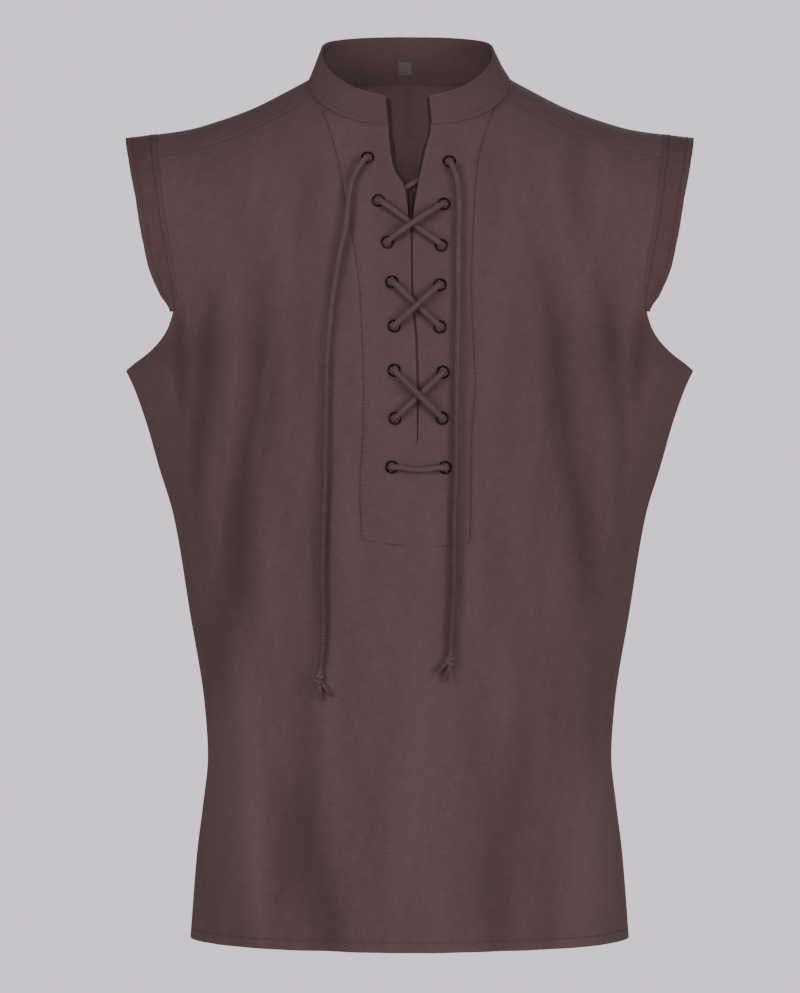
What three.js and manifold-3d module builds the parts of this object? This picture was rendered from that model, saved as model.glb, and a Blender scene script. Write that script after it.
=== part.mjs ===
import * as THREE from 'three';
import { mergeVertices } from 'three/addons/utils/BufferGeometryUtils.js';
import Module from 'manifold-3d';

// A sleeveless shirt with a stand collar and a laced front slit, in its worn shape, hollow.
// Millimetres, +X to the viewer's right, the front faces -Y, +Z up.
// The origin is the middle of the neck at the height where the collar meets the shoulders.

const wasm = await Module();
wasm.setup();

// Driving dimensions
const cloth = 1.6; // wall of the panels and of the armhole bands
const collarCloth = 2.2; // the stand collar is doubled
const seamGap = 0.35; // air between two sewn pieces
const hemZ = -711; // the hem is level
const underarmZ = -242; // the side seam ends here
const notchZ = -196; // the armhole bands start here
const shoulderRound = 60; // height over which front and back close over the shoulder
const seamTurn = 0.665; // radians up from the front at which the shoulder seam runs
const bandLift = 0.4; // the bands stand a little proud of the panels

// The body from the hem up: half width at the side, depth of the front and of the back at the
// middle, and how each section closes at the side, where 0.5 is round and more is a sharper edge.
// Above the underarm the half width runs on past the armholes, which cut the surface off.
const body = [
  { z: -711, half: 182, front: 112, back: 103, close: 0.52 },
  { z: -641, half: 176.5, front: 107, back: 98, close: 0.52 },
  { z: -601, half: 171.5, front: 103, back: 93, close: 0.52 },
  { z: -561, half: 167.5, front: 101, back: 88, close: 0.52 },
  { z: -521, half: 170, front: 101, back: 86, close: 0.52 },
  { z: -442, half: 182.5, front: 104, back: 88, close: 0.53 },
  { z: -362, half: 196, front: 108, back: 94, close: 0.56 },
  { z: -322, half: 208, front: 110, back: 97, close: 0.6 },
  { z: -282, half: 219.5, front: 112, back: 100, close: 0.66 },
  { z: -242, half: 235.5, front: 113, back: 102, close: 0.76 },
  { z: -196, half: 276, front: 112, back: 104, close: 0.62 },
  { z: -150, half: 300, front: 106, back: 104, close: 0.56 },
  { z: -100, half: 308, front: 96, back: 98, close: 0.52 },
  { z: -50, half: 306, front: 78, back: 86, close: 0.5 },
  { z: 0, half: 300, front: 63, back: 71, close: 0.5 },
  { z: 40, half: 300, front: 52, back: 56, close: 0.5 },
];

// Height of the shoulder line, out from the neck
const shoulderLine = [
  { x: 0, z: 26 },
  { x: 40, z: 20 },
  { x: 60, z: 13 },
  { x: 82, z: 0.5 },
  { x: 100, z: -9.3 },
  { x: 130, z: -24.4 },
  { x: 156, z: -34 },
  { x: 184, z: -42 },
  { x: 212, z: -46 },
  { x: 236, z: -49 },
];

// Armhole: where the panels end, and the free edge of the band above the notch
const armhole = [
  { z: -242, panel: 235.5, edge: 235.5 },
  { z: -239, panel: 231.5, edge: 231.5 },
  { z: -229, panel: 215, edge: 215 },
  { z: -219, panel: 203.5, edge: 203.5 },
  { z: -209, panel: 196.5, edge: 196.5 },
  { z: -196, panel: 192, edge: 194.5 },
  { z: -181, panel: 190, edge: 202.5 },
  { z: -157, panel: 192.5, edge: 212 },
  { z: -132, panel: 197, edge: 217.5 },
  { z: -107, panel: 201, edge: 222 },
  { z: -67, panel: 207, edge: 230.5 },
  { z: -45, panel: 211, edge: 235.5 },
];

// Largest folds: the middle line from top to bottom, the half width, and the depth inward,
// which is negative on a ridge
const folds = [
  { face: 'front', topX: -116, topZ: -150, lowX: -158, lowZ: -530, wide: 15, deep: 8 },
  { face: 'front', topX: -162, topZ: -165, lowX: -176, lowZ: -350, wide: 9, deep: 6 },
  { face: 'front', topX: -140, topZ: -170, lowX: -150, lowZ: -360, wide: 10, deep: -3 },
  { face: 'front', topX: -190, topZ: -185, lowX: -187, lowZ: -290, wide: 7, deep: 5 },
  { face: 'front', topX: 108, topZ: -145, lowX: 156, lowZ: -450, wide: 15, deep: 7 },
  { face: 'front', topX: 160, topZ: -170, lowX: 174, lowZ: -300, wide: 9, deep: 5 },
  { face: 'front', topX: 190, topZ: -190, lowX: 186, lowZ: -280, wide: 7, deep: 5 },
  { face: 'front', topX: -136, topZ: -420, lowX: -128, lowZ: -711, wide: 18, deep: -5 },
  { face: 'front', topX: -104, topZ: -560, lowX: -56, lowZ: -760, wide: 24, deep: 6 },
  { face: 'front', topX: 88, topZ: -520, lowX: 62, lowZ: -740, wide: 22, deep: 5 },
  { face: 'front', topX: 150, topZ: -540, lowX: 146, lowZ: -760, wide: 16, deep: -5 },
  { face: 'back', topX: -128, topZ: -150, lowX: -150, lowZ: -470, wide: 16, deep: 8 },
  { face: 'back', topX: 120, topZ: -160, lowX: 158, lowZ: -510, wide: 15, deep: 7 },
  { face: 'back', topX: -60, topZ: -380, lowX: -84, lowZ: -760, wide: 22, deep: 7 },
  { face: 'back', topX: 34, topZ: -430, lowX: 46, lowZ: -740, wide: 24, deep: 6 },
  { face: 'back', topX: -14, topZ: -460, lowX: -22, lowZ: -760, wide: 20, deep: -5 },
  { face: 'back', topX: 188, topZ: -190, lowX: 184, lowZ: -300, wide: 8, deep: 5 },
  { face: 'back', topX: -188, topZ: -180, lowX: -182, lowZ: -310, wide: 8, deep: 5 },
];

// Neckline from the front opening round to the middle of the back: where the collar is sewn on,
// as x and as a way up the front and over the shoulder, and the upper edge of the collar
const collarStations = [
  { x: 17.7, way: -7, topX: 17.7, topY: -66, topZ: -20.5 },
  { x: 40, way: -1, topX: 40, topY: -60, topZ: -14 },
  { x: 62, way: 16, topX: 57, topY: -45, topZ: -3 },
  { x: 77, way: 42, topX: 68, topY: -26, topZ: 10 },
  { x: 83.5, way: 94, topX: 72, topY: 0, topZ: 24 },
  { x: 77, way: 121, topX: 67, topY: 24, topZ: 34 },
  { x: 45, way: 139, topX: 41, topY: 44, topZ: 40 },
  { x: 0, way: 147, topX: 0, topY: 50, topZ: 41.5 },
];
const collarLean = -2; // the collar's upper edge stands this far to the left

// V of the neck and the slit under it, down the front
const slitEdges = [
  { z: -51, left: -17.3, right: 16.8 },
  { z: -66, left: -15.8, right: 12.5 },
  { z: -80, left: -13.5, right: 9.5 },
  { z: -98, left: -4.2, right: 6 },
  { z: -120, left: -1.4, right: 2.8 },
  { z: -140, left: 0.1, right: 2.5 },
  { z: -186, left: 0.7, right: 3.3 },
  { z: -223, left: 3.7, right: 6.8 },
  { z: -260, left: 4.6, right: 7.8 },
  { z: -304, left: 5.3, right: 6.5 },
];

// Eyelets, a row for each pair, from the neck down
const eyelets = [
  { leftX: -34.2, leftZ: -72.9, rightX: 31.8, rightZ: -76.1 },
  { leftX: -25.4, leftZ: -108.4, rightX: 27.2, rightZ: -111.2 },
  { leftX: -18.1, leftZ: -142.3, rightX: 25, rightZ: -144.8 },
  { leftX: -14.5, leftZ: -174.4, rightX: 23.9, rightZ: -176.8 },
  { leftX: -12.5, leftZ: -209.8, rightX: 23.9, rightZ: -210.5 },
  { leftX: -12.6, leftZ: -245.2, rightX: 26.3, rightZ: -246.7 },
  { leftX: -11.8, leftZ: -283.5, rightX: 25.7, rightZ: -283.5 },
  { leftX: -14.5, leftZ: -322.4, rightX: 28, rightZ: -322.8 },
];
const eyeletSize = { hole: 3.5, barrel: 3.95, flange: 5.6, cutHole: 4.3, face: 1, stand: 0.4 };

// Lace: a soft braid, through the eyelets and hanging free from the top pair
const lace = { radius: 2.2, bend: 5, straight: 0.6, under: 2.7, over: 7.5, sides: 8 };
const tailLeft = [
  { x: -44.2, z: -88 },
  { x: -48.4, z: -104 },
  { x: -51, z: -129.6 },
  { x: -56, z: -153.2 },
  { x: -62.3, z: -195.8 },
  { x: -65, z: -228.7 },
  { x: -66.3, z: -268.6 },
  { x: -66.9, z: -323.7 },
  { x: -68.2, z: -359.7 },
  { x: -69.2, z: -396.5 },
  { x: -69.2, z: -419.8 },
  { x: -68.6, z: -442.2 },
  { x: -69, z: -465.5 },
  { x: -71.4, z: -486 },
];
const tailRight = [
  { x: 37.6, z: -92 },
  { x: 39.2, z: -108 },
  { x: 39.3, z: -123.3 },
  { x: 38.6, z: -150.9 },
  { x: 38.3, z: -204.7 },
  { x: 37.8, z: -224.7 },
  { x: 37, z: -260.6 },
  { x: 36.6, z: -292.5 },
  { x: 36.6, z: -324.5 },
  { x: 35.4, z: -356.5 },
  { x: 35.2, z: -396.5 },
  { x: 34.9, z: -419.8 },
  { x: 33.7, z: -442.2 },
  { x: 32.6, z: -460 },
  { x: 32.2, z: -471 },
];
const tailLift = 3.5; // middle line of the hanging lace, out from the cloth
const knot = { wide: 4.6, long: 6, flat: 3, prong: 14, prongRoot: 2.2, prongTip: 1, flare: 0.14 };
const label = { x: -3, width: 10.5, low: 0.15, high: 0.45, cloth: 1 };

// Materials
const clothFinish = { color: 0x584644, roughness: 0.92, metalness: 0 };
const laceFinish = { color: 0x4e3d3a, roughness: 0.88, metalness: 0 };
const eyeletFinish = { color: 0x17171a, roughness: 0.35, metalness: 0.9 };
const labelFinish = { color: 0x6d6361, roughness: 0.7, metalness: 0 };

// Value of one column of a table at a place along it, on a smooth curve that never overshoots
function readTable(table, by, column, at) {
  const last = table.length - 1;
  if (at <= table[0][by]) return table[0][column];
  if (at >= table[last][by]) return table[last][column];
  let row = 0;
  while (table[row + 1][by] < at) row += 1;
  const slope = (k) => (table[k + 1][column] - table[k][column]) / (table[k + 1][by] - table[k][by]);
  const tangent = (k) => {
    if (k === 0) return slope(0);
    if (k === last) return slope(last - 1);
    const before = slope(k - 1);
    const after = slope(k);
    return before * after > 0 ? (2 * before * after) / (before + after) : 0;
  };
  const span = table[row + 1][by] - table[row][by];
  const t = (at - table[row][by]) / span;
  const rise = t * t * (3 - 2 * t);
  return table[row][column] * (1 - rise) + table[row + 1][column] * rise
    + span * t * (1 - t) * (tangent(row) * (1 - t) - tangent(row + 1) * t);
}

const shoulderZ = (x) => readTable(shoulderLine, 'x', 'z', Math.abs(x));

// How far the folds of one face move its surface inward
function foldDepth(x, z, face) {
  let depth = 0;
  for (const fold of folds) {
    const t = (z - fold.topZ) / (fold.lowZ - fold.topZ);
    if (fold.face !== face || t <= 0 || t >= 1) continue;
    const off = (x - fold.topX - (fold.lowX - fold.topX) * t) / fold.wide;
    depth += fold.deep * Math.sin(Math.PI * t) ** 0.8 * Math.exp(-off * off);
  }
  return depth;
}

// A point of the outer surface. side is -1 for the front and 1 for the back. way is the distance
// up the surface, 0 where it starts to close over the shoulder, less below, more over the top.
function bodyPoint(x, way, side) {
  const turn = Math.max(way, 0) / shoulderRound;
  const z = shoulderZ(x) - shoulderRound * (1 - Math.sin(turn)) + Math.min(way, 0);
  const facing = Math.cos(turn) < 0 ? -side : side;
  const face = facing < 0 ? 'front' : 'back';
  const half = readTable(body, 'z', 'half', z);
  const bulge = Math.max(0, 1 - (x / half) ** 2) ** readTable(body, 'z', 'close', z);
  const depth = readTable(body, 'z', face, z) * bulge * Math.abs(Math.cos(turn));
  const folded = foldDepth(x, z, face) * Math.min(1, depth / 40);
  return new THREE.Vector3(x, facing * (depth - folded), z);
}

function bodyNormal(x, way, side) {
  const step = 0.4;
  const across = bodyPoint(x + step, way, side).sub(bodyPoint(x - step, way, side));
  const up = bodyPoint(x, way + step, side).sub(bodyPoint(x, way - step, side));
  return across.cross(up).multiplyScalar(-side).normalize();
}

// The way up the surface at a height z of the front
function wayAt(x, z) {
  const below = z - shoulderZ(x) + shoulderRound;
  return below <= 0 ? below : shoulderRound * Math.asin(Math.min(1, below / shoulderRound));
}

// A point off the front panel, moved out by lift, or in where lift is negative
function offFront(x, z, lift) {
  const way = wayAt(x, z);
  return bodyPoint(x, way, -1).addScaledVector(bodyNormal(x, way, -1), lift);
}

// A closed wall of cloth: rows and columns of outer points, each with its inner point
function clothWall(rows, columns, pairAt) {
  const positions = [];
  const index = [];
  for (let i = 0; i <= rows; i += 1) {
    for (let j = 0; j <= columns; j += 1) {
      const { outer, inner } = pairAt(i, j);
      positions.push(outer.x, outer.y, outer.z, inner.x, inner.y, inner.z);
    }
  }
  const at = (i, j, layer) => 2 * (i * (columns + 1) + j) + layer;
  const quad = (a, b, c, d) => index.push(a, b, c, a, c, d);
  for (let i = 0; i < rows; i += 1) {
    for (let j = 0; j < columns; j += 1) {
      quad(at(i, j, 0), at(i, j + 1, 0), at(i + 1, j + 1, 0), at(i + 1, j, 0));
      quad(at(i, j, 1), at(i + 1, j, 1), at(i + 1, j + 1, 1), at(i, j + 1, 1));
    }
    quad(at(i, 0, 0), at(i + 1, 0, 0), at(i + 1, 0, 1), at(i, 0, 1));
    quad(at(i, columns, 1), at(i + 1, columns, 1), at(i + 1, columns, 0), at(i, columns, 0));
  }
  for (let j = 0; j < columns; j += 1) {
    quad(at(0, j, 1), at(0, j + 1, 1), at(0, j + 1, 0), at(0, j, 0));
    quad(at(rows, j, 0), at(rows, j + 1, 0), at(rows, j + 1, 1), at(rows, j, 1));
  }
  const geometry = new THREE.BufferGeometry();
  geometry.setAttribute('position', new THREE.Float32BufferAttribute(positions, 3));
  geometry.setIndex(index);
  return geometry;
}

// Booleans
function toSolid(geometry) {
  const bare = geometry.clone();
  bare.deleteAttribute('normal');
  bare.deleteAttribute('uv');
  const merged = mergeVertices(bare, 1e-4);
  const vertProperties = new Float32Array(merged.attributes.position.array);
  const triVerts = new Uint32Array(merged.index.array);
  return new wasm.Manifold(new wasm.Mesh({ numProp: 3, vertProperties, triVerts }));
}

function toGeometry(solid) {
  const mesh = solid.getMesh();
  const geometry = new THREE.BufferGeometry();
  geometry.setAttribute('position', new THREE.BufferAttribute(mesh.vertProperties, 3));
  geometry.setIndex(new THREE.BufferAttribute(mesh.triVerts, 1));
  return geometry;
}

// Rows of the panels: edge heights up to where the shoulder starts to close, then turns over it
const edgeHeights = [-711, -676, -641, -606, -571, -536, -501, -466, -431, -396, -362, -330, -300, -270,
  -242, -229, -219, -209, -196, -181, -157, -132];
const frontTurns = [0, 0.22, 0.44, seamTurn - seamGap / shoulderRound];
const backTurns = [0, 0.3, 0.6, 0.9, 1.2, 1.5, 1.75, 2, 2.24, Math.PI - seamTurn];
const panelColumns = 28;

const straightLength = (x) => shoulderZ(x) - shoulderRound - hemZ;

function edgeX(z, column) {
  return z <= underarmZ ? readTable(body, 'z', 'half', z) : readTable(armhole, 'z', column, z);
}

// One row of a panel or band: how far up the straight part it is, its turn over the shoulder,
// and where its two edges are
function heightRow(z) {
  const panel = edgeX(z, 'panel');
  return { z, up: (z - hemZ) / straightLength(panel), turn: 0, panel, edge: edgeX(z, 'edge') };
}

function turnRow(turn) {
  const z = shoulderZ(212) - shoulderRound * (1 - Math.sin(turn));
  return { z, up: 1, turn, panel: edgeX(z, 'panel'), edge: edgeX(z, 'edge') };
}

const wayOf = (row, x) => (row.turn > 0 ? row.turn * shoulderRound : (row.up - 1) * straightLength(x));

// Columns lie closer together at the sides, where the surface turns away
function spread(column) {
  const bend = 1.4;
  return Math.sin(bend * (2 * column / panelColumns - 1)) / Math.sin(bend);
}

function panel(rows, side) {
  return clothWall(rows.length - 1, panelColumns, (i, j) => {
    const row = rows[i];
    const x = -side * row.panel * spread(j);
    const way = wayOf(row, x);
    const outer = bodyPoint(x, way, side);
    const atSideSeam = row.z <= underarmZ && (j === 0 || j === panelColumns);
    if (atSideSeam) outer.y = side * seamGap / 2;
    const normal = atSideSeam ? new THREE.Vector3(Math.sign(x), 0, 0) : bodyNormal(x, way, side);
    return { outer, inner: outer.clone().addScaledVector(normal, -cloth) };
  });
}

// Neckline and collar, from the left end of the front round the back to the right end
const collarColumns = 42;
const mirrored = (station) => ({ ...station, x: -station.x, topX: -station.topX });
const neckRing = [...collarStations.map(mirrored), ...collarStations.slice(0, -1).reverse()];
const neckSeam = new THREE.SplineCurve(neckRing.map(({ x, way }) => new THREE.Vector2(x, way)));
const collarTop = new THREE.CatmullRomCurve3(
  neckRing.map(({ topX, topY, topZ }) => new THREE.Vector3(topX + collarLean, topY, topZ)));

function neckPoint(t) {
  const seam = neckSeam.getPoint(t);
  return bodyPoint(seam.x, seam.y, -1);
}

// The outer face of the collar at t along it and up of its height, with its level outward direction
function collarPoint(t, up) {
  const point = neckPoint(t).lerp(collarTop.getPoint(t), up);
  const step = 0.004;
  const ahead = collarTop.getPoint(Math.min(1, t + step));
  const along = ahead.sub(collarTop.getPoint(Math.max(0, t - step)));
  const outward = new THREE.Vector3(-along.y, along.x, 0).normalize();
  return { point, outward };
}

function collar() {
  const rows = 3;
  const lift = 0.02; // of the height, which leaves the gap to the neckline
  return clothWall(rows, collarColumns, (i, j) => {
    const { point, outward } = collarPoint(1 - j / collarColumns, lift + (1 - lift) * i / rows);
    return { outer: point, inner: point.clone().addScaledVector(outward, -collarCloth) };
  });
}

// What is cut away for the neck: outlines seen from the front, run through the cloth
function prism(outline, fromY, toY) {
  const shape = new THREE.Shape(outline.map(([x, z]) => new THREE.Vector2(x, z)));
  const geometry = new THREE.ExtrudeGeometry(shape, { depth: toY - fromY, bevelEnabled: false });
  return toSolid(geometry.rotateX(Math.PI / 2).translate(0, toY, 0));
}

function neckCut() {
  const far = 260;
  const top = 80;
  const ring = [];
  for (let j = 0; j <= collarColumns; j += 1) ring.push(neckPoint(j / collarColumns));
  const ridge = shoulderRound * Math.PI / 2;
  const isFront = (point, j) => neckSeam.getPoint(j / collarColumns).y < ridge;
  const flat = (point) => [point.x, point.z];
  const frontLeft = ring.filter((p, j) => isFront(p, j) && j < collarColumns / 2).map(flat).reverse();
  const frontRight = ring.filter((p, j) => isFront(p, j) && j > collarColumns / 2).map(flat).reverse();
  const slitLeft = slitEdges.map(({ z, left }) => [left, z]);
  const slitRight = slitEdges.map(({ z, right }) => [right, z]).reverse();
  const back = ring.filter((p, j) => !isFront(p, j)).map(flat);
  const side = collarStations[4].x;
  const front = [[-side, top], [-side, shoulderZ(side)], ...frontLeft, ...slitLeft, ...slitRight,
    ...frontRight, [side, shoulderZ(side)], [side, top]];
  const rear = [[-side, top], [-side, shoulderZ(side)], ...back, [side, shoulderZ(side)], [side, top]];
  return prism(front, -far, 0.01).add(prism(rear, -0.01, far));
}

// A body turned from +Y to a direction and moved to a point
function placed(geometry, point, direction) {
  const turn = new THREE.Quaternion().setFromUnitVectors(new THREE.Vector3(0, 1, 0), direction);
  return geometry.applyQuaternion(turn).translate(point.x, point.y, point.z);
}

const eyeletAt = (side, row) => {
  const x = eyelets[row][`${side}X`];
  const z = eyelets[row][`${side}Z`];
  return { x, z, point: offFront(x, z, 0), out: bodyNormal(x, wayAt(x, z), -1) };
};

function eyeletRing(side, row) {
  const { hole, barrel, flange, face, stand } = eyeletSize;
  const tail = -cloth - stand;
  const profile = [[hole, tail], [barrel, tail], [barrel, stand], [flange, stand], [flange, face],
    [hole, face], [hole, tail]].map(([r, y]) => new THREE.Vector2(r, y));
  const { point, out } = eyeletAt(side, row);
  return placed(new THREE.LatheGeometry(profile, 10), point, out);
}

function frontPanel() {
  const rows = [...edgeHeights.map(heightRow), ...frontTurns.map(turnRow)];
  let solid = toSolid(panel(rows, -1)).subtract(neckCut());
  for (let row = 0; row < eyelets.length; row += 1) {
    for (const side of ['left', 'right']) {
      const { point, out } = eyeletAt(side, row);
      const cutter = new THREE.CylinderGeometry(eyeletSize.cutHole, eyeletSize.cutHole, 12, 10);
      solid = solid.subtract(toSolid(placed(cutter, point, out)));
    }
  }
  return toGeometry(solid);
}

function backPanel() {
  const rows = [...edgeHeights.map(heightRow), ...backTurns.map(turnRow)];
  return toGeometry(toSolid(panel(rows, 1)).subtract(neckCut()));
}

// A crescent band from the front notch over the shoulder to the back notch
function armholeBand(hand) {
  const climb = edgeHeights.filter((z) => z >= notchZ).map(heightRow);
  const over = backTurns.slice(0, -1).map(turnRow);
  const down = [...frontTurns.slice(0, -1), seamTurn].map(turnRow);
  const front = [...climb, ...down].map((row) => ({ row, side: -1 }));
  const back = [...climb, ...over].map((row) => ({ row, side: 1 })).reverse();
  const stations = [...front, ...back];
  const columns = 3;
  return clothWall(columns, stations.length - 1, (i, j) => {
    const { row, side } = stations[j];
    const part = hand > 0 ? 1 - i / columns : i / columns;
    const inset = row.panel + seamGap;
    const x = hand * (inset + (row.edge - inset) * part);
    const normal = bodyNormal(x, wayOf(row, x), side);
    const outer = bodyPoint(x, wayOf(row, x), side).addScaledVector(normal, bandLift);
    return { outer, inner: outer.clone().addScaledVector(normal, -cloth) };
  });
}

// A route that takes its steps from one given point to the next, so that bends get more of them
class Route extends THREE.CatmullRomCurve3 {
  getUtoTmapping(u) {
    return u;
  }
}

function laceTube(points, stepsEach) {
  const section = new THREE.Shape();
  for (let k = 0; k <= lace.sides; k += 1) {
    const angle = 2 * Math.PI * k / lace.sides;
    const [x, y] = [lace.radius * Math.cos(angle), lace.radius * Math.sin(angle)];
    if (k === 0) section.moveTo(x, y);
    else section.lineTo(x, y);
  }
  const extrudePath = new Route(points, false, 'centripetal');
  return new THREE.ExtrudeGeometry(section, { steps: (points.length - 1) * stepsEach, extrudePath });
}

// Points of the bend from the middle of a hole out over its rim, on the front or behind the cloth
function bendPoints(eyelet, towards, face) {
  const heading = towards.clone().sub(eyelet.point);
  heading.addScaledVector(eyelet.out, -heading.dot(eyelet.out)).normalize();
  const middle = eyelet.point.clone().addScaledVector(eyelet.out, -cloth / 2);
  return [Math.PI / 4, Math.PI / 2].map((angle) => middle.clone()
    .addScaledVector(heading, lace.bend * (1 - Math.cos(angle)))
    .addScaledVector(eyelet.out, face * lace.bend * Math.sin(angle)));
}

// Where two crossing strands pass each other, seen from the front
function crossing(a, b, c, d) {
  const det = (b.x - a.x) * (d.z - c.z) - (b.z - a.z) * (d.x - c.x);
  const t = ((c.x - a.x) * (d.z - c.z) - (c.z - a.z) * (d.x - c.x)) / det;
  return { x: a.x + (b.x - a.x) * t, z: a.z + (b.z - a.z) * t };
}

// The lacing, hole by hole from the top left one down to the bar and back up to the top right one.
// Rows that swap sides on the front are crossed there, and the others behind the cloth.
function lacingRoute() {
  const last = eyelets.length - 1;
  const holes = [];
  for (let row = 0; row <= last; row += 1) holes.push(eyeletAt(row % 2 ? 'right' : 'left', row));
  for (let row = last; row >= 0; row -= 1) holes.push(eyeletAt(row % 2 ? 'left' : 'right', row));
  const middle = (hole, off = 0) => hole.point.clone().addScaledVector(hole.out, off - cloth / 2);
  const points = [middle(holes[0]), middle(holes[0], -lace.straight)];
  for (let leg = 0; leg < holes.length - 1; leg += 1) {
    const [from, to] = [holes[leg], holes[leg + 1]];
    const face = leg % 2 ? 1 : -1;
    const twin = holes.length - 2 - leg;
    const isBar = twin === leg;
    const pass = isBar ? { x: (from.x + to.x) / 2, z: (from.z + to.z) / 2 - 2 }
      : crossing(from, to, holes[twin], holes[twin + 1]);
    const onTop = isBar ? false : [1, 3, 9].includes(leg) || (face < 0 && leg < twin);
    const lift = onTop ? lace.over : lace.under;
    const halfway = offFront(pass.x, pass.z, face > 0 ? lift : -lift - cloth);
    points.push(...bendPoints(from, to.point, face), halfway);
    points.push(...bendPoints(to, from.point, face).reverse(), middle(to));
  }
  const end = holes[holes.length - 1];
  points.splice(-1, 0, middle(end, -lace.straight));
  return points;
}

// A hanging end of the lace: out of its hole, over the rim and down the cloth
function tailRoute(side, places) {
  const hole = eyeletAt(side, 0);
  const start = hole.point.clone().addScaledVector(hole.out, seamGap - cloth / 2);
  const next = start.clone().addScaledVector(hole.out, lace.straight);
  const down = places.map(({ x, z }) => offFront(x, z, tailLift));
  return [start, next, ...bendPoints(hole, down[0], 1), ...down];
}

// The knot at the end of a lace, with its frayed ends
function laceKnot(route, prongTurns) {
  const end = route[route.length - 1];
  const heading = end.clone().sub(route[route.length - 2]).normalize();
  const centre = end.clone().addScaledVector(heading, knot.long + seamGap);
  const ball = new THREE.SphereGeometry(1, 10, 8).scale(knot.wide, knot.long, knot.flat);
  let solid = toSolid(placed(ball, centre, heading));
  for (const turn of prongTurns) {
    const aim = heading.clone().applyAxisAngle(new THREE.Vector3(0, 1, 0), turn);
    aim.y -= knot.flare;
    aim.normalize();
    const prong = new THREE.CylinderGeometry(knot.prongTip, knot.prongRoot, knot.prong, 7);
    const middle = centre.clone().addScaledVector(aim, knot.long / 2 + knot.prong / 2);
    solid = solid.add(toSolid(placed(prong, middle, aim)));
  }
  return toGeometry(solid);
}

// The small woven label inside the back of the collar
function sizeLabel() {
  const acrossPerTurn = 2 * (neckRing.length - 1) * collarStations[6].topX / 2;
  return clothWall(3, 3, (i, j) => {
    const x = label.x + label.width * (0.5 - j / 3);
    const up = label.low + (label.high - label.low) * i / 3;
    const { point, outward } = collarPoint(0.5 + x / acrossPerTurn, up);
    const outer = point.clone().addScaledVector(outward, -collarCloth - seamGap);
    return { outer, inner: outer.clone().addScaledVector(outward, -label.cloth) };
  });
}

// The object
const garment = new THREE.Group();

function addPiece(name, geometry, finish) {
  const mesh = new THREE.Mesh(geometry, new THREE.MeshStandardMaterial(finish));
  mesh.name = name;
  garment.add(mesh);
}

const leftRoute = tailRoute('left', tailLeft);
const rightRoute = tailRoute('right', tailRight);

addPiece('front', frontPanel(), clothFinish);
addPiece('back', backPanel(), clothFinish);
addPiece('collar', collar(), clothFinish);
addPiece('armhole_band_left', armholeBand(-1), clothFinish);
addPiece('armhole_band_right', armholeBand(1), clothFinish);
for (const side of ['left', 'right']) {
  for (let row = 0; row < eyelets.length; row += 1) {
    addPiece(`eyelet_${side}_${row + 1}`, eyeletRing(side, row), eyeletFinish);
  }
}
addPiece('lace_laced', laceTube(lacingRoute(), 1), laceFinish);
addPiece('lace_tail_left', laceTube(leftRoute, 2), laceFinish);
addPiece('lace_tail_right', laceTube(rightRoute, 2), laceFinish);
addPiece('lace_knot_left', laceKnot(leftRoute, [-0.2, -0.75]), laceFinish);
addPiece('lace_knot_right', laceKnot(rightRoute, [0.1, 0.9]), laceFinish);
addPiece('size_label', sizeLabel(), labelFinish);

export default garment;
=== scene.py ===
import math
import bmesh
import bpy
import numpy as np
from mathutils import Matrix, Vector


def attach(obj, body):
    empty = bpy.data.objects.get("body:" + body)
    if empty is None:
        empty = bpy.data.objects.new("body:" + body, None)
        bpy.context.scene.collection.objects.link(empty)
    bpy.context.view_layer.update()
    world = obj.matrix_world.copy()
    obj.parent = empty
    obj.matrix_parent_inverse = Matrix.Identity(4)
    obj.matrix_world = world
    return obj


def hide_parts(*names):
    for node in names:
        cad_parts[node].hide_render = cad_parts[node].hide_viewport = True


# A sleeveless laced shirt. Tables are in millimetres, and mm turns them into Blender's metres.
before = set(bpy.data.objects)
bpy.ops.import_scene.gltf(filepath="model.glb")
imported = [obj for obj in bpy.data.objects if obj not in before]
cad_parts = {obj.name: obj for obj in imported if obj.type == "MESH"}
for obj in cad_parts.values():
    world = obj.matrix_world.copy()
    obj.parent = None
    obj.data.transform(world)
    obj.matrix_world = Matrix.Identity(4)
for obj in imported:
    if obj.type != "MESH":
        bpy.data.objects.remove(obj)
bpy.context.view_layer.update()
mm = 0.001
dice = np.random.default_rng(11)

# Camera first
camera = {"place": (-0.008, -3.0, -0.346), "height": 0.82419, "distance": 3.0}
lens = bpy.data.cameras.new("viewCamera")
lens.sensor_fit = "VERTICAL"
lens.sensor_height = 36
lens.lens = 36 * camera["distance"] / camera["height"]
viewer = bpy.data.objects.new("viewCamera", lens)
viewer.location = camera["place"]
viewer.rotation_euler = (math.radians(90), 0, 0)
bpy.context.scene.collection.objects.link(viewer)
bpy.context.scene.camera = viewer

# The worn form, as in the part's source
body = [  # height, half width, depth of the front, depth of the back, how the section closes
    (-711, 182, 112, 103, 0.52), (-641, 176.5, 107, 98, 0.52), (-601, 171.5, 103, 93, 0.52),
    (-561, 167.5, 101, 88, 0.52), (-521, 170, 101, 86, 0.52), (-442, 182.5, 104, 88, 0.53),
    (-362, 196, 108, 94, 0.56), (-322, 208, 110, 97, 0.6), (-282, 219.5, 112, 100, 0.66),
    (-242, 235.5, 113, 102, 0.76), (-196, 276, 112, 104, 0.62), (-150, 300, 106, 104, 0.56),
    (-100, 308, 96, 98, 0.52), (-50, 306, 78, 86, 0.5), (0, 300, 63, 71, 0.5), (40, 300, 52, 56, 0.5)]
shoulderLine = [(0, 26), (40, 20), (60, 13), (82, 0.5), (100, -9.3), (130, -24.4), (156, -34),
                (184, -42), (212, -46), (236, -49)]
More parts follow.
